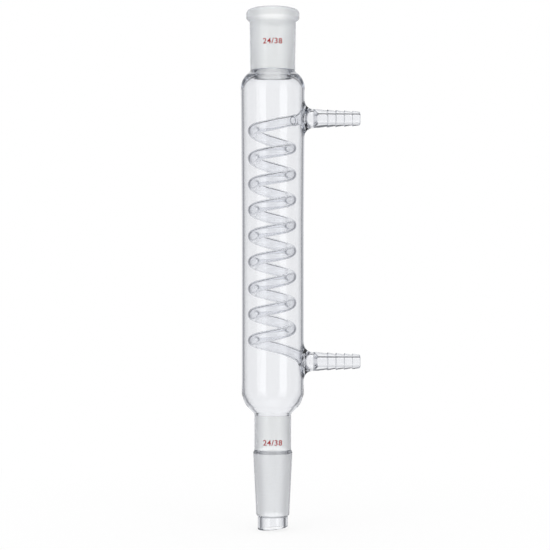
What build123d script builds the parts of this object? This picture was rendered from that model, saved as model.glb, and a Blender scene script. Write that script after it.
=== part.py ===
from build123d import *
from math import cos, pi, radians, sin
import os

# A coil condenser of blown borosilicate glass, fused into one piece.
# Millimetres, +Z up the axis, origin at the centre of the lower cone's large end.
# Both hose connections point along +X.

# Ground joints with the standard taper, a loss of diameter per length
joint_diameter = 24.0
joint_taper = 0.1
ground_length = 38.0

# Lower cone and drip tip
collar_height = 1.5
cone_end_chamfer = 1.2
tip_diameter = 18.4
tip_bore = 13.4
tip_length = 7.2
tip_cut_angle = 5.8

# Lower neck and shoulder
lower_neck_length = 23.5
lower_neck_diameter = 22.5
lower_neck_bore = 18.2
lower_shoulder_height = 12.2

# Jacket, which swells a little towards its upper shoulder
jacket_diameter = 38.0
jacket_wall = 1.4
jacket_length = 192.0
jacket_swell = 0.6
swell_length = 86.0

# Upper shoulder, neck and socket
upper_shoulder_height = 5.3
upper_shoulder_rounding = 11.0
shoulder_wall = 2.0
upper_neck_diameter = 27.4
socket_diameter = 28.4
bead_diameter = 32.6
bead_height = 7.8
bead_rounding = 3.1

# Hose connections
hose_above_jacket_foot = 19.8
hose_below_jacket_top = 23.6
hose_root_diameter = 11.6
hose_root_length = 8.5
hose_root_wall = 1.5
hose_root_fillet = 5.5
hose_stem_diameter = 10.6
hose_stem_length = 5.6
hose_bore = 4.6
serration_count = 4
serration_pitch = 5.1
serration_depth = 0.35
serration_diameter = 11.0
hose_tip_diameter = 8.2
hose_tip_rounding = 0.9

# Coil, and the ring seals that join its leads to the jacket
coil_tube_diameter = 7.0
coil_tube_wall = 1.0
coil_centre_diameter = 22.8
coil_turns = 8.5
coil_above_lower_hose = 8.7
coil_below_upper_hose = 4.8
lower_seal_above_hose = 2.2
lower_lead_slope = 30.0
upper_lead_slope = 15.0
seal_flare = 1.7
seal_length = 4.5

# Heights along the axis
cone_end = -(ground_length + cone_end_chamfer)
tip_end = cone_end - tip_length
jacket_foot = lower_neck_length + lower_shoulder_height
jacket_top = jacket_foot + jacket_length
upper_neck_foot = jacket_top + upper_shoulder_height
rim = upper_neck_foot + ground_length
lower_hose_height = jacket_foot + hose_above_jacket_foot
upper_hose_height = jacket_top - hose_below_jacket_top
coil_foot = lower_hose_height + coil_above_lower_hose
coil_head = upper_hose_height - coil_below_upper_hose
coil_pitch = (coil_head - coil_foot) / coil_turns

# Distances from the axis
joint_radius = joint_diameter / 2
ground_end_radius = joint_radius - joint_taper * ground_length / 2
jacket_radius = jacket_diameter / 2
jacket_bore_radius = jacket_radius - jacket_wall
wall_middle = jacket_radius - jacket_wall / 2
coil_radius = coil_centre_diameter / 2
hose_root_end = jacket_radius + hose_root_length
hose_tip = hose_root_end + hose_stem_length + serration_count * serration_pitch

# How far a cut runs past the glass that it opens
past_glass = 1.0


def turned(corners):
    """Solid turned about Z from corners of radius, height and rounding, its seam on the -X side."""
    points = [(-radius, height) for radius, height, _ in corners]
    first = (0, corners[0][1])
    last = (0, corners[-1][1])
    outline = FilletPolyline(first, *points, last, radius=[rounding for _, _, rounding in corners])
    return revolve(make_face(Plane.XZ * (outline + Line(last, first))), Axis.Z)


def glass_outside():
    """Outside of the socket, shoulders, jacket, cone and drip tip."""
    return turned([
        (bead_diameter / 2, rim, bead_rounding),
        (bead_diameter / 2, rim - bead_height * 0.75, bead_rounding / 2),
        (socket_diameter / 2, rim - bead_height, 0),
        (upper_neck_diameter / 2, upper_neck_foot, 1.0),
        (jacket_radius + jacket_swell, jacket_top, upper_shoulder_rounding),
        (jacket_radius, jacket_top - swell_length, 0),
        (jacket_radius, jacket_foot, 0),
        (jacket_radius - lower_shoulder_height * 0.16, jacket_foot - lower_shoulder_height * 0.52, 12.0),
        (lower_neck_diameter / 2, lower_neck_length, 1.8),
        (lower_neck_diameter / 2, collar_height, 0),
        (joint_radius, 0, 0),
        (ground_end_radius, -ground_length, 0),
        (tip_diameter / 2, cone_end, 0),
        (tip_diameter / 2, tip_end - tip_diameter / 2, 0),
    ])


def vapour_way():
    """Inside of the wall, from above the rim to below the drip tip."""
    return turned([
        (joint_radius + joint_taper * past_glass / 2, rim + past_glass, 0),
        (ground_end_radius, upper_neck_foot, 0),
        (upper_neck_diameter / 2 - shoulder_wall, upper_neck_foot - shoulder_wall * 0.8, 0),
        (jacket_bore_radius + jacket_swell, jacket_top - shoulder_wall, upper_shoulder_rounding - shoulder_wall),
        (jacket_bore_radius, jacket_top - swell_length, 0),
        (jacket_bore_radius, jacket_foot + 0.6, 0),
        (jacket_bore_radius - lower_shoulder_height * 0.2, jacket_foot - lower_shoulder_height * 0.44, 9.0),
        (lower_neck_bore / 2, lower_neck_length + 0.8, 2.5),
        (lower_neck_bore / 2, 0, 0),
        (tip_bore / 2, -ground_length, 0),
        (tip_bore / 2, tip_end - tip_diameter, 0),
    ])


def hose_outside():
    """Root, stem, serrations and rounded tip of a hose connection, with the jacket's axis at height 0."""
    first_ridge = hose_root_end + hose_stem_length
    ridge_fall = (serration_diameter - hose_tip_diameter) / 2 / serration_count * 0.7
    edge = 0.3
    corners = [
        (hose_root_diameter / 2, jacket_bore_radius, 0),
        (hose_root_diameter / 2, hose_root_end, 0),
        (hose_stem_diameter / 2, first_ridge - edge, 0),
    ]
    for step in range(serration_count):
        ridge = serration_diameter / 2 - ridge_fall * step
        start = first_ridge + serration_pitch * step
        corners.append((ridge, start + edge, 0))
        if step < serration_count - 1:
            corners.append((ridge - ridge_fall - serration_depth, start + serration_pitch - edge, 0))
    corners.append((hose_tip_diameter / 2, hose_tip, hose_tip_rounding))
    return turned(corners)


def hose_inside():
    """Wide chamber at the root and narrow bore out to the tip of a hose connection."""
    chamber_radius = hose_root_diameter / 2 - hose_root_wall
    return turned([
        (chamber_radius, wall_middle, 0),
        (chamber_radius, hose_root_end - 2.5, 2.0),
        (hose_bore / 2, hose_root_end, 0),
        (hose_bore / 2, hose_tip + past_glass, 0),
    ])


def hose_places():
    """Frames of the two hose connections, each with its Z along +X."""
    return [
        Plane(origin=(0, 0, height), z_dir=(1, 0, 0)).location
        for height in (lower_hose_height, upper_hose_height)
    ]


def seal_places():
    """Frames where the lower and upper leads meet the jacket wall, each with its Z outward along the lead."""
    fall = radians(lower_lead_slope)
    rise = radians(upper_lead_slope)
    lower = Plane(origin=(wall_middle, 0, lower_hose_height + lower_seal_above_hose), z_dir=(cos(fall), 0, -sin(fall)))
    upper = Plane(origin=(wall_middle, 0, upper_hose_height), z_dir=(cos(rise), 0, sin(rise)))
    return lower, upper


def coil_line():
    """Centre line from the lower seal round the back, up the right-handed turns and round the front."""
    lower, upper = seal_places()
    climb = coil_pitch / (2 * pi)
    helix = Edge.make_helix(coil_pitch, coil_head - coil_foot, coil_radius)
    turns = Pos(0, 0, coil_foot) * Rot(0, 0, 90) * helix
    bend = wall_middle / 2
    lower_lead = Edge.make_spline(
        [lower.origin, (bend, coil_radius / 2, coil_foot - climb), (0, coil_radius, coil_foot)],
        [-lower.z_dir, Vector(-coil_radius, 0, climb).normalized()],
    )
    upper_lead = Edge.make_spline(
        [(0, -coil_radius, coil_head), (bend, -coil_radius / 2, coil_head + climb), upper.origin],
        [Vector(coil_radius, 0, climb).normalized(), upper.z_dir],
    )
    return Wire([lower_lead, *turns.edges(), upper_lead])


def seal_cone(radius, reach):
    """Lead end of the given radius that flares into the ring seal, with the wall's middle at height 0."""
    return turned([
        (radius, -seal_length, 0),
        (radius, -seal_length * 0.4, 4.0),
        (radius + seal_flare, 0, 0),
        (radius + seal_flare, reach, 0),
    ])


def coil_form(radius, reach):
    """Round bar along the coil's centre line, flared at both ring seals."""
    line = coil_line()
    start = Plane(origin=line @ 0, z_dir=line % 0)
    form = Solid.sweep(start * Circle(radius).face(), line)
    for place in seal_places():
        form += place.location * seal_cone(radius, reach)
    return form


def fuse_hoses(glass):
    """Glass with both hose connections on it, their roots blended into the jacket."""
    for place in hose_places():
        glass += place * hose_outside()
    root_radius = hose_root_diameter / 2
    roots = glass.edges().filter_by(
        lambda edge: edge.geom_type == GeomType.BSPLINE
        and abs((edge.bounding_box().max.Z - edge.bounding_box().min.Z) / 2 - root_radius) < 0.5
    )
    return glass.fillet(hose_root_fillet, roots)


def water_way():
    """Cooling path from hose tip to hose tip through the coil."""
    way = coil_form(coil_tube_diameter / 2 - coil_tube_wall, jacket_wall)
    for place in hose_places():
        way += place * hose_inside()
    return way


def tip_offcut():
    """What the slanting cut takes off the drip tip."""
    size = jacket_diameter * 2
    block = Box(size, size, size, align=(Align.CENTER, Align.CENTER, Align.MAX))
    return Pos(0, 0, tip_end) * Rot(0, -tip_cut_angle, 0) * block


def condenser():
    """The whole fused glass piece."""
    glass = fuse_hoses(glass_outside())
    vapour = vapour_way() - coil_form(coil_tube_diameter / 2, jacket_wall * 3)
    return glass - vapour - water_way() - tip_offcut()


os.makedirs("parts", exist_ok=True)
export_step(condenser(), "parts/condenser.step")
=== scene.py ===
import math

import bmesh
import bpy
import numpy as np
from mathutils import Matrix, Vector


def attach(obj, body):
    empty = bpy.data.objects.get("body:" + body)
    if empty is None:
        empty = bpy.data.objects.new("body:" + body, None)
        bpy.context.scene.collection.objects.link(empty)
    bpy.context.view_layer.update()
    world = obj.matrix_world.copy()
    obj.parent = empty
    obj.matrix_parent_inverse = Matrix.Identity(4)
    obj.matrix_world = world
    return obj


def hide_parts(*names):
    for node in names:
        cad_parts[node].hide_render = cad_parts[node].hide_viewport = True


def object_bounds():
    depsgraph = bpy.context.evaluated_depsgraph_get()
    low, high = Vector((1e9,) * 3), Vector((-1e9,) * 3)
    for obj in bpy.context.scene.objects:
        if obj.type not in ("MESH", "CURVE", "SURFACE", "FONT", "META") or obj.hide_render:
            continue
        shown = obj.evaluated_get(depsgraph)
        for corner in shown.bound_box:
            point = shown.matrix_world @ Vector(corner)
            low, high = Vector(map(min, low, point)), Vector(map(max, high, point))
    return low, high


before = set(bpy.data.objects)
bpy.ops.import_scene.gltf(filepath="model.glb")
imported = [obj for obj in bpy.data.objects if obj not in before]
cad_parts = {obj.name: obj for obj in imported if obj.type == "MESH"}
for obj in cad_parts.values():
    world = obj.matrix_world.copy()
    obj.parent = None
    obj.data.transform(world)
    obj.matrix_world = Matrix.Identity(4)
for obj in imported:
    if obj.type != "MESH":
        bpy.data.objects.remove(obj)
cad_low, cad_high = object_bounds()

# The scene is in metres, and the lengths below are in millimetres
MM = 0.001

# Ground joints with the standard taper, a loss of diameter per length
JOINT_RADIUS = 12.0
JOINT_TAPER = 0.1
GROUND_LENGTH = 38.0
GROUND_END_RADIUS = JOINT_RADIUS - JOINT_TAPER * GROUND_LENGTH / 2

# Drip tip
CONE_END = -(GROUND_LENGTH + 1.2)
TIP_RADIUS = 9.2
TIP_BORE_RADIUS = 6.7
TIP_END = CONE_END - 7.2
SLANT_START = -41.0
SLANT = math.tan(math.radians(5.8))

# Lower neck with its collar, and lower shoulder
COLLAR_FOOT = -0.1
COLLAR_TOP = 1.6
NECK_LENGTH = 23.5
NECK_RADIUS = 11.25
NECK_BORE_RADIUS = 9.1
LOWER_SHOULDER = 12.2

# Jacket, which swells a little towards its upper shoulder
JACKET_RADIUS = 19.0
JACKET_WALL = 1.4
JACKET_BORE_RADIUS = JACKET_RADIUS - JACKET_WALL
WALL_MIDDLE = JACKET_RADIUS - JACKET_WALL / 2
JACKET_FOOT = NECK_LENGTH + LOWER_SHOULDER
JACKET_TOP = JACKET_FOOT + 192.0
SWELL = 0.59
BORE_SWELL = 0.6
SWELL_FOOT = JACKET_TOP - 86.0

# Upper shoulder, neck and socket
SHOULDER_ROUNDING = 11.0
SHOULDER_WALL = 2.0
UPPER_NECK_FOOT = JACKET_TOP + 5.3
UPPER_NECK_RADIUS = 13.7
SOCKET_RADIUS = 14.2
RIM = UPPER_NECK_FOOT + GROUND_LENGTH
RIM_LIP = 0.45
BEAD_RADIUS = 16.3
BEAD_HEIGHT = 7.8
BEAD_ROUNDING = 3.1

# Hose connections, with distances from the jacket's axis
HOSE_HEIGHTS = (JACKET_FOOT + 19.8, JACKET_TOP - 23.6)
HOSE_FOOT = 16.0
ROOT_RADIUS = 5.8
ROOT_END = 27.5
ROOT_FILLET = 5.5
CHAMBER_RADIUS = 4.3
STEM_RADIUS = 5.05
STEM_END = 33.0
HOSE_BORE_RADIUS = 2.5
RIDGE_COUNT = 4
RIDGE_RADIUS = 5.5
RIDGE_START = 33.3
RIDGE_PITCH = 5.1
RIDGE_FALL = 0.245
GROOVE_DEPTH = 0.6
EDGE = 0.15
HOSE_TIP = 53.5
HOSE_TIP_RADIUS = 4.1

# Coil, and the seals that join its leads to the jacket
COIL_RADIUS = 11.4
COIL_SHIFT = -0.4
COIL_FOOT = HOSE_HEIGHTS[0] + 8.7
COIL_HEAD = HOSE_HEIGHTS[1] - 4.8
COIL_TURNS = 8.5
TUBE_RADIUS = 3.5
TUBE_BORE_RADIUS = 2.5
LOWER_SEAL_HEIGHT = HOSE_HEIGHTS[0] + 2.2
LOWER_LEAD_FALL = math.radians(30)
UPPER_LEAD_RISE = math.radians(15)
SEAL_FLARE = 1.7
SEAL_LENGTH = 4.5
FLARE_POWER = 2.2

# Waist where the upper lead is joined, at its distance from the jacket
WAIST_PLACE = 7.2
WAIST_DEPTH = 0.5
WAIST_WIDTH = 0.6

# How far each half turn of the hand-wound coil lies above or below an even winding, from its foot to its head
UNEVEN = (0, 0, -0.3, 0, -0.4, -0.2, -0.3, 0.3, -0.5, 0.15, -0.6, 0.2, -1.0, 0, -1.4, 0, -1.3, 0.9, 0)

# Printed numbers on the socket and the lower neck, a little to the left of their middle
MARK_TEXT = "24/38"
MARK_HEIGHT = 3.4
MARK_WIDENING = 1.08
MARK_SHIFT = -0.1
MARK_PROUD = 0.035
MARK_SUNK = 0.01
UPPER_MARK_HEIGHT = 249.8
LOWER_MARK_HEIGHT = 6.8

# Heights between which the joints are ground, or satin outside
GROUND_CONE = (-GROUND_LENGTH, -1.0)
GROUND_SOCKET = (UPPER_NECK_FOOT, RIM - 0.8)
SATIN_NECK = (2.0, NECK_LENGTH - 2.0)
SATIN_SOCKET = (UPPER_NECK_FOOT + 1.5, RIM - 0.3)

# How finely the glass is divided
LONGEST_RUN = 5.0
ARC_STEP = math.radians(7)
JACKET_STEPS = 192
HOSE_STEPS = 64
TUBE_STEPS = 32
TUBE_BORE_STEPS = 24
COIL_STEPS_PER_TURN = 53
LEAD_STEPS = 48
SLIVER = 0.002

# Refraction of borosilicate glass
GLASS_IOR = 1.473

# Soft boxes, with place in metres, width, height and power
SOFT_BOXES = {
    "left_box": ((-0.68, -0.72, 0.25), 0.65, 1.3, 2.6),
    "right_box": ((0.68, -0.80, 0.25), 0.50, 1.3, 1.9),
    "top_box": ((0.0, -0.2, 1.3), 0.8, 0.8, 2.0),
}
LIT_POINT = (0, 0, 0.11)

# Camera, level and in front of the object, in metres
CAMERA_PLACE = (0.00135, -0.95, 0.1084)
CAMERA_LENS = 101.6


# Outlines

def rounded_corner(at, back, on, rounding):
    """Points of the arc in a corner, between the directions back and on from it."""
    between = math.acos(np.clip(back @ on, -1, 1))
    centre = at + (back + on) / np.linalg.norm(back + on) * rounding / math.sin(between / 2)
    first = at + back * rounding / math.tan(between / 2) - centre
    last = at + on * rounding / math.tan(between / 2) - centre
    swept = math.pi - between
    count = max(2, math.ceil(swept / ARC_STEP))
    points = []
    for step in range(count + 1):
        share = step / count
        toward = first * math.sin((1 - share) * swept) + last * math.sin(share * swept)
        points.append(centre + toward / math.sin(swept))
    return points


def rounded(corners):
    """Outline of (radius, height, rounding) corners as points, with arcs in corners and long runs divided."""
    points = [np.array(corners[0][:2], float)]
    for before, corner, after in zip(corners, corners[1:], corners[2:]):
        at = np.array(corner[:2], float)
        back = np.array(before[:2]) - at
        back /= np.linalg.norm(back)
        on = np.array(after[:2]) - at
        on /= np.linalg.norm(on)
        rounding = corner[2]
        points += rounded_corner(at, back, on, rounding) if rounding else [at]
    points.append(np.array(corners[-1][:2], float))
    outline = [points[0]]
    for point in points[1:]:
        start = outline[-1]
        pieces = max(1, round(np.linalg.norm(point - start) / LONGEST_RUN))
        outline += [start + (point - start) * step / pieces for step in range(1, pieces + 1)]
    return outline


def closed_rings(rings, start, end):
    """Vertices and faces of a skin over rings of points, closed at both ends by a point."""
    count, steps = rings.shape[:2]
    verts = [*rings.reshape(-1, 3), np.array(start, float), np.array(end, float)]
    faces = []
    for ring in range(count - 1):
        low, high = ring * steps, (ring + 1) * steps
        for step in range(steps):
            on = (step + 1) % steps
            faces.append((low + step, low + on, high + on, high + step))
    first, last = count * steps, count * steps + 1
    top = (count - 1) * steps
    for step in range(steps):
        on = (step + 1) % steps
        faces.append((first, on, step))
        faces.append((last, top + step, top + on))
    return verts, faces


def turned(corners, steps):
    """Vertices and faces of the closed form that an outline makes when it is turned about Z."""
    outline = rounded(corners)
    angles = np.arange(steps) * 2 * math.pi / steps
    rings = np.array([
        [(radius * math.cos(angle), radius * math.sin(angle), height) for angle in angles]
        for radius, height in outline
    ])
    return closed_rings(rings, (0, 0, outline[0][1]), (0, 0, outline[-1][1]))


# Solids

def placed(name, data):
    """New object in the scene that holds a mesh, letters, a light or a camera."""
    piece = bpy.data.objects.new(name, data)
    bpy.context.scene.collection.objects.link(piece)
    return piece


def solid(name, verts, faces):
    """Object from millimetre points, with its faces turned outward."""
    mesh = bpy.data.meshes.new(name)
    mesh.from_pydata([tuple(point) for point in np.array(verts, float) * MM], [], faces)
    form = bmesh.new()
    form.from_mesh(mesh)
    if form.calc_volume(signed=True) < 0:
        bmesh.ops.reverse_faces(form, faces=form.faces)
    form.to_mesh(mesh)
    form.free()
    return placed(name, mesh)


def evaluated_mesh(piece):
    """New mesh of an object with its modifiers applied."""
    return bpy.data.meshes.new_from_object(piece.evaluated_get(bpy.context.evaluated_depsgraph_get()))


def combine(base, others, operation):
    """Base with the other solids added or cut away, which are then deleted."""
    for other in others:
        change = base.modifiers.new("change", "BOOLEAN")
        change.operation = operation
        change.solver = "MANIFOLD"
        change.object = other
    mesh = evaluated_mesh(base)
    base.modifiers.clear()
    base.data = mesh
    for other in others:
        bpy.data.objects.remove(other)
    return base


def drop_slivers(mesh):
    """Join points that lie closer than a sliver's width, and drop the faces that this closes up."""
    form = bmesh.new()
    form.from_mesh(mesh)
    bmesh.ops.triangulate(form, faces=form.faces)
    bmesh.ops.dissolve_degenerate(form, edges=form.edges, dist=SLIVER * MM)
    bmesh.ops.remove_doubles(form, verts=form.verts, dist=SLIVER * MM)
    form.to_mesh(mesh)
    form.free()


# Socket, shoulders, jacket, cone and drip tip

def slanted(verts):
    """Points with the drip tip's end drawn down on one side, as its slanting cut is."""
    moved = np.array(verts, float)
    share = np.clip((SLANT_START - moved[:, 2]) / (SLANT_START - TIP_END), 0, 1)
    moved[:, 2] += share * moved[:, 0] * SLANT
    return moved


def outside_form():
    """Outside of socket, shoulders, jacket, cone and drip tip, filled."""
    verts, faces = turned([
        (0, RIM, 0),
        (BEAD_RADIUS, RIM, BEAD_ROUNDING),
        (BEAD_RADIUS, RIM - BEAD_HEIGHT * 0.75, BEAD_ROUNDING / 2),
        (SOCKET_RADIUS, RIM - BEAD_HEIGHT, 0.8),
        (UPPER_NECK_RADIUS, UPPER_NECK_FOOT, 1.2),
        (JACKET_RADIUS + SWELL, JACKET_TOP, SHOULDER_ROUNDING),
        (JACKET_RADIUS, SWELL_FOOT, 0),
        (JACKET_RADIUS, JACKET_FOOT, 0),
        (JACKET_RADIUS - LOWER_SHOULDER * 0.16, JACKET_FOOT - LOWER_SHOULDER * 0.52, 12),
        (NECK_RADIUS, NECK_LENGTH, 1.8),
        (NECK_RADIUS, COLLAR_TOP, 1.0),
        (JOINT_RADIUS, COLLAR_FOOT, 1.2),
        (GROUND_END_RADIUS, -GROUND_LENGTH, 0.5),
        (TIP_RADIUS, CONE_END, 0.6),
        (TIP_RADIUS, TIP_END, 0.7),
        (0, TIP_END, 0),
    ], JACKET_STEPS)
    return solid("outside", slanted(verts), faces)


def vapour_form():
    """Inside of the wall, filled, from above the rim to below the drip tip."""
    past_rim, past_tip = 2, 3
    verts, faces = turned([
        (0, RIM + past_rim, 0),
        (JOINT_RADIUS + 2.4, RIM + past_rim, 0),
        (JOINT_RADIUS + RIM_LIP, RIM, 0.3),
        (JOINT_RADIUS - 0.05, RIM - 0.9, 0.6),
        (GROUND_END_RADIUS, UPPER_NECK_FOOT, 0),
        (UPPER_NECK_RADIUS - SHOULDER_WALL, UPPER_NECK_FOOT - SHOULDER_WALL * 0.8, 0.6),
        (JACKET_BORE_RADIUS + BORE_SWELL, JACKET_TOP - SHOULDER_WALL, SHOULDER_ROUNDING - SHOULDER_WALL),
        (JACKET_BORE_RADIUS, SWELL_FOOT, 0),
        (JACKET_BORE_RADIUS, JACKET_FOOT + 0.6, 0),
        (JACKET_BORE_RADIUS - LOWER_SHOULDER * 0.2, JACKET_FOOT - LOWER_SHOULDER * 0.44, 9),
        (NECK_BORE_RADIUS, NECK_LENGTH + 0.8, 2.5),
        (NECK_BORE_RADIUS, 0, 1.5),
        (TIP_BORE_RADIUS, -GROUND_LENGTH, 2.0),
        (TIP_BORE_RADIUS, TIP_END + 0.7, 0.5),
        (TIP_BORE_RADIUS + 0.5, TIP_END - 0.2, 0),
        (TIP_BORE_RADIUS + 0.9, TIP_END - past_tip, 0),
        (0, TIP_END - past_tip, 0),
    ], JACKET_STEPS)
    return solid("vapour", slanted(verts), faces)


# Hose connections

def along_x(verts, height):
    """Points turned from the Z axis to the X axis at that height."""
    x, y, z = np.array(verts, float).T
    return np.stack([z, y, height - x], 1)


def hose_outside_form(height):
    """Root, stem, ridges and rounded tip of a hose connection, filled."""
    corners = [
        (0, HOSE_FOOT, 0),
        (ROOT_RADIUS, HOSE_FOOT, 0),
        (ROOT_RADIUS, ROOT_END, 1.5),
        (STEM_RADIUS, STEM_END, EDGE),
    ]
    for step in range(RIDGE_COUNT):
        radius = RIDGE_RADIUS - RIDGE_FALL * step
        start = RIDGE_START + RIDGE_PITCH * step
        if step:
            corners.append((radius - GROOVE_DEPTH, start - EDGE, EDGE))
        corners.append((radius, start + EDGE, EDGE))
    corners += [(HOSE_TIP_RADIUS, HOSE_TIP, 0.9), (0, HOSE_TIP, 0)]
    verts, faces = turned(corners, HOSE_STEPS)
    return solid("hose_outside", along_x(verts, height), faces)


def hose_inside_form(height):
    """Wide chamber at the root and narrow bore out to the tip, filled."""
    past_tip = 1.5
    verts, faces = turned([
        (0, WALL_MIDDLE, 0),
        (CHAMBER_RADIUS, WALL_MIDDLE, 0.2),
        (CHAMBER_RADIUS, ROOT_END - 2.4, 2.2),
        (HOSE_BORE_RADIUS, ROOT_END, 2.0),
        (HOSE_BORE_RADIUS, HOSE_TIP - 0.6, 0.5),
        (HOSE_BORE_RADIUS + 0.4, HOSE_TIP + 0.1, 0),
        (HOSE_BORE_RADIUS + 0.9, HOSE_TIP + past_tip, 0),
        (0, HOSE_TIP + past_tip, 0),
    ], HOSE_STEPS)
    return solid("hose_inside", along_x(verts, height), faces)


def jacket_radius_at(height):
    """Outer radius of the jacket at a height."""
    return JACKET_RADIUS + SWELL * max(0.0, height - SWELL_FOOT) / (JACKET_TOP - SWELL_FOOT)


def root_blend_form(height):
    """Ring that fills the corner between a hose connection and the jacket, as if a ball rolled round it."""
    ball_circle = ROOT_RADIUS + ROOT_FILLET
    past = math.radians(6)
    arc_steps = 12
    inner_radius = ROOT_RADIUS - 1.0
    inner_place = 16.6
    rings = []
    for angle in np.arange(HOSE_STEPS) * 2 * math.pi / HOSE_STEPS:
        y, z = ball_circle * math.cos(angle), ball_circle * math.sin(angle)
        wall = jacket_radius_at(height + z)
        x = math.sqrt((wall + ROOT_FILLET) ** 2 - y ** 2)
        centre = np.array([x, y, z])
        to_jacket = np.array([-x, -y, 0]) / (wall + ROOT_FILLET)
        to_hose = np.array([0, -y, -z]) / ball_circle
        between = math.acos(to_jacket @ to_hose)
        ring = []
        for step in range(arc_steps + 1):
            turn = -past + (between + 2 * past) * step / arc_steps
            toward = (to_jacket * math.sin(between - turn) + to_hose * math.sin(turn)) / math.sin(between)
            ring.append(centre + toward * ROOT_FILLET)
        ring.append(np.array([inner_place, inner_radius * math.cos(angle), inner_radius * math.sin(angle)]))
        rings.append(ring)
    points = np.array(rings)
    points[:, :, 2] += height
    count, width = points.shape[:2]
    faces = []
    for ring in range(count):
        for step in range(width):
            on, beside = (ring + 1) % count, (step + 1) % width
            faces.append((ring * width + step, on * width + step, on * width + beside, ring * width + beside))
    return solid("root_blend", points.reshape(-1, 3), faces)


# Coil

def half_lead(start, end, leaving, arriving, length):
    """Points from start to just before end, on a cubic curve that leaves and arrives as given."""
    half = LEAD_STEPS // 2
    points = []
    for share in np.arange(half) / half:
        square, cube = share ** 2, share ** 3
        points.append((2 * cube - 3 * square + 1) * start + (cube - 2 * square + share) * length * leaving
                      + (3 * square - 2 * cube) * end + (cube - square) * length * arriving)
    return points


def lead(points, start_direction, end_direction):
    """Smooth line through three points with given directions at its ends."""
    start, middle, end = (np.array(point, float) for point in points)
    first, second = np.linalg.norm(middle - start), np.linalg.norm(end - middle)
    leaving, arriving = np.array(start_direction), np.array(end_direction)
    pull = 3 * ((middle - start) * second / first + (end - middle) * first / second)
    passing = (pull - second * leaving - first * arriving) / (2 * (first + second))
    return [
        *half_lead(start, middle, leaving, passing, first),
        *half_lead(middle, end, passing, arriving, second),
        end,
    ]


def unevenness(turn):
    """Height above an even winding at a number of turns from the foot, smooth between half turns."""
    places = (0, *(0.25 + 0.5 * step for step in range(len(UNEVEN) - 2)), COIL_TURNS)
    place = max(step for step, start in enumerate(places[:-1]) if start <= turn)
    share = (turn - places[place]) / (places[place + 1] - places[place])
    return UNEVEN[place] + (UNEVEN[place + 1] - UNEVEN[place]) * (3 * share ** 2 - 2 * share ** 3)


def coil_line():
    """Centre line from past the lower seal, up the right-handed turns, to past the upper seal."""
    pitch = (COIL_HEAD - COIL_FOOT) / COIL_TURNS
    climb = pitch / (2 * math.pi)
    level = 1 / math.hypot(COIL_RADIUS, climb)
    bend = WALL_MIDDLE / 2
    lower = np.array([WALL_MIDDLE, 0, LOWER_SEAL_HEIGHT])
    lower_in = np.array([-math.cos(LOWER_LEAD_FALL), 0, math.sin(LOWER_LEAD_FALL)])
    foot = lead(
        [lower, (bend, COIL_RADIUS / 2, COIL_FOOT - climb), (COIL_SHIFT, COIL_RADIUS, COIL_FOOT)],
        lower_in, (-COIL_RADIUS * level, 0, climb * level),
    )
    upper = np.array([WALL_MIDDLE, 0, HOSE_HEIGHTS[1]])
    upper_out = np.array([math.cos(UPPER_LEAD_RISE), 0, math.sin(UPPER_LEAD_RISE)])
    head = lead(
        [(COIL_SHIFT, -COIL_RADIUS, COIL_HEAD), (bend, -COIL_RADIUS / 2, COIL_HEAD + climb), upper],
        (COIL_RADIUS * level, 0, climb * level), upper_out,
    )
    steps = round(COIL_STEPS_PER_TURN * COIL_TURNS)
    turns = []
    for step in range(1, steps):
        turn = COIL_TURNS * step / steps
        angle = math.pi / 2 + 2 * math.pi * turn
        x, y = COIL_SHIFT + COIL_RADIUS * math.cos(angle), COIL_RADIUS * math.sin(angle)
        turns.append(np.array([x, y, COIL_FOOT + pitch * turn + unevenness(turn)]))
    past = 3.0
    return [lower - lower_in * past, *foot, *turns, *head, upper + upper_out * past]


def flared(line, radius):
    """Radius of the tube at each point of the line: even, with a waist, and flaring at both seals."""
    lengths = [0.0]
    for before, point in zip(line, line[1:]):
        lengths.append(lengths[-1] + float(np.linalg.norm(point - before)))
    past = lengths[1]
    radii = []
    for length in lengths:
        to_upper_seal = lengths[-1] - past - length
        inward = min(length - past, to_upper_seal)
        share = min(1.0, max(0.0, 1 - inward / SEAL_LENGTH))
        waist = WAIST_DEPTH * math.exp(-((to_upper_seal - WAIST_PLACE) / WAIST_WIDTH) ** 2)
        radii.append(radius + SEAL_FLARE * share ** FLARE_POWER - waist)
    return radii


def tube_form(name, line, radii, steps):
    """Filled tube along a line, with frames that don't twist."""
    line = np.array(line)
    along = np.gradient(line, axis=0)
    along /= np.linalg.norm(along, axis=1)[:, None]
    side = np.cross(along[0], (0, 0, 1.0))
    side /= np.linalg.norm(side)
    angles = np.arange(steps) * 2 * math.pi / steps
    rings = []
    for point, direction, radius in zip(line, along, radii):
        side = side - direction * (side @ direction)
        side /= np.linalg.norm(side)
        other = np.cross(direction, side)
        ways = [side * math.cos(angle) + other * math.sin(angle) for angle in angles]
        rings.append([point + radius * way for way in ways])
    return solid(name, *closed_rings(np.array(rings), line[0], line[-1]))


def glass_piece():
    """The whole fused glass body."""
    line = coil_line()
    glass = outside_form()
    hoses = [hose_outside_form(height) for height in HOSE_HEIGHTS]
    blends = [root_blend_form(height) for height in HOSE_HEIGHTS]
    combine(glass, hoses + blends, "UNION")
    coil_outside = tube_form("coil_outside", line, flared(line, TUBE_RADIUS), TUBE_STEPS)
    vapour = combine(vapour_form(), [coil_outside], "DIFFERENCE")
    water = tube_form("coil_inside", line[1:-1], flared(line, TUBE_BORE_RADIUS)[1:-1], TUBE_BORE_STEPS)
    chambers = [hose_inside_form(height) for height in HOSE_HEIGHTS]
    combine(glass, [vapour, water, *chambers], "DIFFERENCE")
    drop_slivers(glass.data)
    glass.name = "glass_body"
    glass.data.name = "glass_body"
    return glass


# Materials

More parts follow.
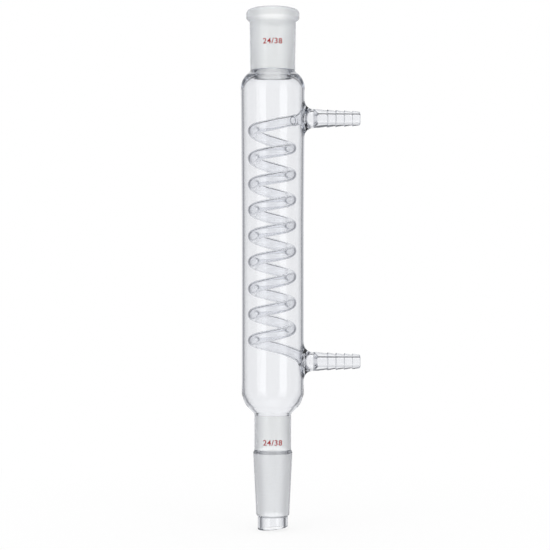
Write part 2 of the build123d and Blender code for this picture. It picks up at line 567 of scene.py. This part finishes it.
def set_sockets(tree, node, values):
    """Numbers set on a node's sockets, and outputs of other nodes linked to them."""
    for socket, value in values.items():
        if isinstance(value, bpy.types.NodeSocket):
            tree.links.new(value, node.inputs[socket])
        else:
            node.inputs[socket].default_value = value


def add_node(tree, kind, values, **settings):
    """New shader node of a kind, with its settings and what its sockets hold."""
    node = tree.nodes.new("ShaderNode" + kind)
    for name, value in settings.items():
        setattr(node, name, value)
    set_sockets(tree, node, values)
    return node


def new_material(name):
    """New material with its node tree and Principled shader."""
    made = bpy.data.materials.new(name)
    made.use_nodes = True
    tree = made.node_tree
    return made, tree, tree.nodes["Principled BSDF"]


def noise(tree, scale, detail, stretch=(1, 1, 1)):
    """Noise in the object's own coordinates, stretched along its axes."""
    where = add_node(tree, "TexCoord", {})
    mapping = add_node(tree, "Mapping", {"Vector": where.outputs["Object"], "Scale": stretch})
    texture = add_node(tree, "TexNoise", {
        "Vector": mapping.outputs["Vector"], "Scale": scale, "Detail": detail,
    })
    return texture.outputs["Fac"]


def spread(tree, value, low, high):
    """Value from 0 to 1 spread between two limits."""
    return add_node(tree, "MapRange", {"Value": value, "To Min": low, "To Max": high}).outputs["Result"]


def relief(tree, height, depth):
    """Surface relief of a depth in millimetres."""
    return add_node(tree, "Bump", {"Height": height, "Distance": depth * MM}).outputs["Normal"]


def absorb(tree, colour, density):
    """Tint of the glass by the way that light goes through it."""
    inside = add_node(tree, "VolumeAbsorption", {"Color": colour, "Density": density})
    set_sockets(tree, tree.nodes["Material Output"], {"Volume": inside.outputs["Volume"]})


def clear_glass():
    """Clear borosilicate glass, faintly wavy along the drawn tubing."""
    made, tree, shader = new_material("clear_glass")
    waves = noise(tree, scale=50, detail=1, stretch=(1, 1, 0.15))
    patches = noise(tree, scale=60, detail=4)
    set_sockets(tree, shader, {
        "Base Color": (0.978, 0.982, 0.992, 1),
        "Transmission Weight": 1.0,
        "IOR": GLASS_IOR,
        "Roughness": spread(tree, patches, 0.0, 0.003),
        "Normal": relief(tree, waves, depth=0.012),
    })
    absorb(tree, colour=(0.80, 0.82, 0.86, 1), density=45.0)
    return made


def ground_glass(name, clearness, facing_and_edge_shade, grain):
    """Finely ground glass with a grain, faint rings from the grinding, and painted shade: its colour goes
    from the first grey where it faces the view to the darker second grey where it is seen edge-on.
    """
    made, tree, shader = new_material(name)
    grains = noise(tree, scale=2600, detail=4)
    rings = noise(tree, scale=160, detail=3, stretch=(0.15, 0.15, 4))
    height = add_node(tree, "Math", {0: grains, 1: rings}, operation="ADD")
    # Painted shade: the colour turns darker where the surface is seen edge-on, standing in for the dark edges
    # of glass.
    facing = add_node(tree, "LayerWeight", {"Blend": 0.5})
    tone = add_node(tree, "ValToRGB", {"Fac": facing.outputs["Facing"]})
    for element, grey in zip(tone.color_ramp.elements, facing_and_edge_shade):
        element.color = (grey, grey * 1.01, min(1.0, grey * 1.06), 1)
    # The grain of the grinding multiplies the painted edge shade.
    grain_and_edge_shade = add_node(tree, "Mix", {
        "Factor": 1.0,
        "A": tone.outputs["Color"],
        "B": spread(tree, grains, *grain),
    }, data_type="RGBA", blend_type="MULTIPLY")
    set_sockets(tree, shader, {
        "Base Color": grain_and_edge_shade.outputs["Result"],
        "Transmission Weight": clearness,
        "IOR": GLASS_IOR,
        "Roughness": spread(tree, rings, 0.12, 0.22),
        "Normal": relief(tree, height.outputs["Value"], depth=0.06),
    })
    absorb(tree, colour=(0.80, 0.84, 0.88, 1), density=16.0)
    return made


def red_enamel():
    """Fired red marking colour, uneven at the grain of its screen print."""
    made, tree, shader = new_material("red_enamel")
    tone = add_node(tree, "ValToRGB", {"Fac": noise(tree, scale=3000, detail=3)})
    tone.color_ramp.elements[0].color = (0.26, 0.010, 0.012, 1)
    tone.color_ramp.elements[1].color = (0.42, 0.025, 0.028, 1)
    set_sockets(tree, shader, {"Roughness": 0.45, "Base Color": tone.outputs["Color"]})
    return made


def glass_finish(radius, height):
    """Name of the glass finish on the wall at a distance from the axis and a height."""
    def between(heights):
        return heights[0] < height < heights[1]

    skin = 0.2
    if between(GROUND_CONE) and radius > GROUND_END_RADIUS - skin:
        return "ground_glass"
    if between(SATIN_NECK) and radius > NECK_RADIUS - skin:
        return "satin_glass"
    if between(SATIN_SOCKET) and radius > UPPER_NECK_RADIUS - skin:
        return "satin_glass"
    if between(GROUND_SOCKET) and radius < JOINT_RADIUS + skin / 2:
        return "ground_inside"
    return "clear_glass"


def finish_glass(glass):
    """Smooth shading, and ground or satin glass where the joints have it."""
    finishes = {
        "clear_glass": clear_glass(),
        # The second grey in each pair is painted shade where the glass is seen edge-on.
        "ground_glass": ground_glass("ground_glass", clearness=0.5, facing_and_edge_shade=(0.98, 0.66), grain=(0.86, 1.06)),
        "satin_glass": ground_glass("satin_glass", clearness=0.65, facing_and_edge_shade=(1.0, 0.9), grain=(0.95, 1.05)),
        "ground_inside": ground_glass("ground_inside", clearness=0.9, facing_and_edge_shade=(1.0, 0.95), grain=(0.95, 1.05)),
    }
    mesh = glass.data
    mesh.materials.clear()
    for finish in finishes.values():
        mesh.materials.append(finish)
    names = list(finishes)
    for face in mesh.polygons:
        x, y, z = face.center / MM
        face.material_index = names.index(glass_finish(math.hypot(x, y), z))
        face.use_smooth = True
    mesh.set_sharp_from_angle(angle=math.radians(35))


# Printed numbers

def flat_numbers(name):
    """Flat mesh of the numbers, at the size and place that the font gives."""
    letters = bpy.data.curves.new(name, "FONT")
    letters.body = MARK_TEXT
    letters.align_x = "CENTER"
    letters.align_y = "CENTER"
    letters.size = 1.0
    letters.offset = 0.012
    letters.space_character = 1.06
    flat = placed(name + "_flat", letters)
    mesh = evaluated_mesh(flat)
    bpy.data.objects.remove(flat)
    return mesh


def mark(name, middle, radius_at, paint):
    """Thin printed numbers, wrapped round the neck on the side of the front."""
    mesh = flat_numbers(name)
    form = bmesh.new()
    form.from_mesh(mesh)
    low = min(vert.co.y for vert in form.verts)
    high = max(vert.co.y for vert in form.verts)
    left = min(vert.co.x for vert in form.verts)
    right = max(vert.co.x for vert in form.verts)
    tall = MARK_HEIGHT / (high - low)
    wide = tall * MARK_WIDENING
    for vert in form.verts:
        vert.co = ((vert.co.x - (left + right) / 2) * wide, (vert.co.y - (low + high) / 2) * tall, 0)
    width = (right - left) * wide
    strip = 0.6
    for cut in np.arange(-width / 2, width / 2, strip):
        everything = form.verts[:] + form.edges[:] + form.faces[:]
        bmesh.ops.bisect_plane(form, geom=everything, plane_co=(float(cut), 0, 0), plane_no=(1, 0, 0))
    bmesh.ops.remove_doubles(form, verts=form.verts, dist=0.005)
    grown = bmesh.ops.extrude_face_region(form, geom=form.faces[:])
    raised = {part for part in grown["geom"] if isinstance(part, bmesh.types.BMVert)}
    for vert in form.verts:
        z = middle + vert.co.y
        radius = radius_at(z) + (MARK_PROUD if vert in raised else -MARK_SUNK)
        angle = (vert.co.x + MARK_SHIFT) / radius_at(z)
        vert.co = (radius * math.sin(angle) * MM, -radius * math.cos(angle) * MM, z * MM)
    bmesh.ops.recalc_face_normals(form, faces=form.faces)
    form.to_mesh(mesh)
    form.free()
    drop_slivers(mesh)
    mesh.materials.clear()
    mesh.materials.append(paint)
    return placed(name, mesh)


def socket_radius_at(height):
    """Outer radius of the socket at a height, which widens from the neck's foot to the bead."""
    share = (height - UPPER_NECK_FOOT) / (GROUND_LENGTH - BEAD_HEIGHT)
    return UPPER_NECK_RADIUS + (SOCKET_RADIUS - UPPER_NECK_RADIUS) * share


def neck_radius_at(height):
    """Outer radius of the lower neck, the same at each height."""
    return NECK_RADIUS


# World

class Arithmetic:
    """Arithmetic on the outputs of a node tree."""

    def __init__(self, tree):
        self.tree = tree

    def calculate(self, operation, *values):
        """Result of one operation of Blender's Math node."""
        return add_node(self.tree, "Math", dict(enumerate(values)), operation=operation).outputs["Value"]

    def product(self, first, *others):
        """Product of all values."""
        for value in others:
            first = self.calculate("MULTIPLY", first, value)
        return first

    def largest(self, first, *others):
        """Largest of all values."""
        for value in others:
            first = self.calculate("MAXIMUM", first, value)
        return first

    def rest(self, share):
        """What a share leaves of one."""
        return self.calculate("SUBTRACT", 1.0, share)

    def fade(self, angle, start, end, low, high):
        """Number that changes smoothly from low to high while an angle goes from start to end, in degrees."""
        return add_node(self.tree, "MapRange", {
            "Value": angle,
            "From Min": math.radians(start),
            "From Max": math.radians(end),
            "To Min": low,
            "To Max": high,
        }, interpolation_type="SMOOTHSTEP").outputs["Result"]


def studio_light(sums, azimuth, aside, elevation, behind):
    """What reflections show: soft panels all round, a table and a ceiling, with dim gaps between them."""
    def panel(start, end, soft, strength):
        """Soft-edged panel between two angles to either side of the backdrop's middle."""
        rise = sums.fade(aside, start - soft, start + soft, 0.0, strength)
        fall = sums.fade(aside, end - soft, end + soft, 1.0, 0.0)
        return sums.product(rise, fall)

    left_side = sums.calculate("LESS_THAN", azimuth, 0.0)
    on_the_left = sums.product(panel(50, 66, soft=5, strength=0.35), left_side)
    beside = panel(60, 80, soft=6, strength=0.5)
    in_front = panel(150, 190, soft=8, strength=0.2)
    panels = sums.product(
        sums.largest(behind, on_the_left, beside, in_front),
        sums.fade(elevation, 34, 44, 1.0, 0.0),
        sums.fade(elevation, -36, -26, 0.0, 1.0),
    )
    raised = sums.product(
        panel(42, 84, soft=6, strength=0.55),
        sums.fade(elevation, 14, 22, 0.0, 1.0),
        sums.fade(elevation, 36, 44, 1.0, 0.0),
    )
    table = sums.fade(elevation, -40, -28, 0.8, 0.0)
    ceiling = sums.fade(elevation, 68, 74, 0.0, 1.0)
    gap = 0.08
    lit = sums.product(sums.largest(panels, raised, table, ceiling), 1 - gap)
    return sums.calculate("ADD", lit, gap)


def backdrop_light(sums, aside, elevation, behind):
    """What shows straight through the glass: white, but dim where the view is bent far up or aside."""
    far_up = sums.fade(elevation, 30, 46, 1.0, 0.08)
    band = sums.largest(sums.fade(elevation, 2, 6, 1.0, 0.94), sums.fade(elevation, 8, 15, 0.0, 1.0))
    down = sums.fade(elevation, -50, -20, 0.8, 1.0)
    straight_down = sums.fade(elevation, -74, -64, 1.0, 0.0)
    all_round = sums.largest(behind, sums.fade(aside, 38, 48, 0.0, 1.0))
    return sums.largest(sums.product(all_round, far_up, band, down), straight_down)


def studio_world():
    """White to the eye and through the glass, a studio to reflections, and even light to all else."""
    world = bpy.data.worlds.new("studio")
    bpy.context.scene.world = world
    world.use_nodes = True
    tree = world.node_tree
    tree.nodes.clear()
    sums = Arithmetic(tree)

    where = add_node(tree, "TexCoord", {})
    toward = add_node(tree, "SeparateXYZ", {"Vector": where.outputs["Generated"]}).outputs
    azimuth = sums.calculate("ARCTAN2", toward["X"], toward["Y"])
    aside = sums.calculate("ABSOLUTE", azimuth)
    elevation = sums.calculate("ARCSINE", toward["Z"])
    behind = sums.fade(aside, -2, 46, 1.0, 0.12)

    path = add_node(tree, "LightPath", {}).outputs
    scattered = sums.calculate("MINIMUM", path["Diffuse Depth"], 1.0)
    reflected = sums.calculate("MINIMUM", path["Glossy Depth"], 1.0)
    in_glass = sums.calculate("MINIMUM", path["Transmission Depth"], 1.0)
    through, sharp = path["Is Transmission Ray"], path["Is Singular Ray"]
    straight = sums.product(through, sharp, sums.rest(reflected), sums.rest(scattered))
    blurred = sums.product(through, sums.rest(sharp))
    reflecting = sums.product(sums.largest(path["Is Glossy Ray"], reflected), sums.rest(scattered))

    backdrop = sums.product(straight, backdrop_light(sums, aside, elevation, behind))
    white = sums.largest(path["Is Camera Ray"], backdrop)
    studio = sums.product(studio_light(sums, azimuth, aside, elevation, behind), reflecting)
    lifted = sums.largest(sums.product(scattered, in_glass), sums.product(blurred, 0.6))
    even = sums.product(
        sums.calculate("ADD", 1.0, sums.product(0.2, lifted)),
        sums.rest(straight),
        sums.rest(reflecting),
    )
    shown = sums.product(sums.calculate("ADD", studio, even), sums.rest(white))
    strength = sums.calculate("ADD", white, shown)

    cool, neutral = (0.94, 0.96, 1.05, 1), (1, 1, 1, 1)
    tint = add_node(tree, "Mix", {"Factor": strength, "A": cool, "B": neutral}, data_type="RGBA")
    background = add_node(tree, "Background", {"Color": tint.outputs["Result"], "Strength": strength})
    add_node(tree, "OutputWorld", {"Surface": background.outputs["Background"]})


# Stage

def floor_material():
    """Pale paint. To the eye it is white but for the shadow near the object."""
    made = bpy.data.materials.new("floor")
    made.use_nodes = True
    tree = made.node_tree
    tree.nodes.clear()
    paint = add_node(tree, "BsdfDiffuse", {"Color": (0.82, 0.82, 0.82, 1)})
    glow = add_node(tree, "Emission", {"Strength": 1.0})
    where = add_node(tree, "TexCoord", {})
    distance = add_node(tree, "VectorMath", {0: where.outputs["Object"]}, operation="LENGTH")
    shadow_reach = 0.35
    glowing = add_node(tree, "MapRange", {
        "Value": distance.outputs["Value"],
        "From Min": 0.0,
        "From Max": shadow_reach,
        "To Min": 0.80,
        "To Max": 1.0,
    }, interpolation_type="SMOOTHSTEP")
    path = add_node(tree, "LightPath", {})
    share = Arithmetic(tree).product(path.outputs["Is Camera Ray"], glowing.outputs["Result"])
    mix = add_node(tree, "MixShader", {"Fac": share, 1: paint.outputs["BSDF"], 2: glow.outputs["Emission"]})
    add_node(tree, "OutputMaterial", {"Surface": mix.outputs["Shader"]})
    return made


def pale_floor():
    """Plain floor under the drip tip, which the glass itself doesn't show."""
    bpy.ops.mesh.primitive_plane_add(size=8, location=(0, 0, cad_low.z))
    floor = bpy.context.object
    floor.name = "floor"
    floor.data.materials.append(floor_material())
    floor.visible_transmission = False
    floor.visible_glossy = False


def soft_box(name, place, width, height, power):
    """Rectangular light that faces the middle of the object."""
    light = bpy.data.lights.new(name, "AREA")
    light.shape = "RECTANGLE"
    light.size = width
    light.size_y = height
    light.energy = power
    lamp = placed(name, light)
    lamp.location = place
    lamp.rotation_euler = (Vector(LIT_POINT) - Vector(place)).to_track_quat("-Z", "Y").to_euler()


def add_camera():
    """Level camera in front of the object, framed as the photograph is."""
    data = bpy.data.cameras.new("camera")
    data.sensor_width = 36
    data.lens = CAMERA_LENS
    data.clip_start = 0.05
    data.clip_end = 20
    camera = placed("camera", data)
    camera.location = CAMERA_PLACE
    camera.rotation_euler = (math.radians(90), 0, 0)
    bpy.context.scene.camera = camera


add_camera()
glass = glass_piece()
finish_glass(glass)
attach(glass, "root")
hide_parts("condenser")

paint = red_enamel()
for name, middle, radius_at in (
    ("upper_size_mark", UPPER_MARK_HEIGHT, socket_radius_at),
    ("lower_size_mark", LOWER_MARK_HEIGHT, neck_radius_at),
):
    numbers = mark(name, middle, radius_at, paint)
    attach(numbers, "root")

studio_world()
pale_floor()
for name, box in SOFT_BOXES.items():
    soft_box(name, *box)

bpy.context.scene.view_settings.view_transform = "Standard"

# Bounces enough for paths through many walls of glass
bpy.context.scene.cycles.max_bounces = 32
bpy.context.scene.cycles.transmission_bounces = 32
bpy.context.scene.cycles.glossy_bounces = 24
bpy.context.scene.cycles.diffuse_bounces = 12
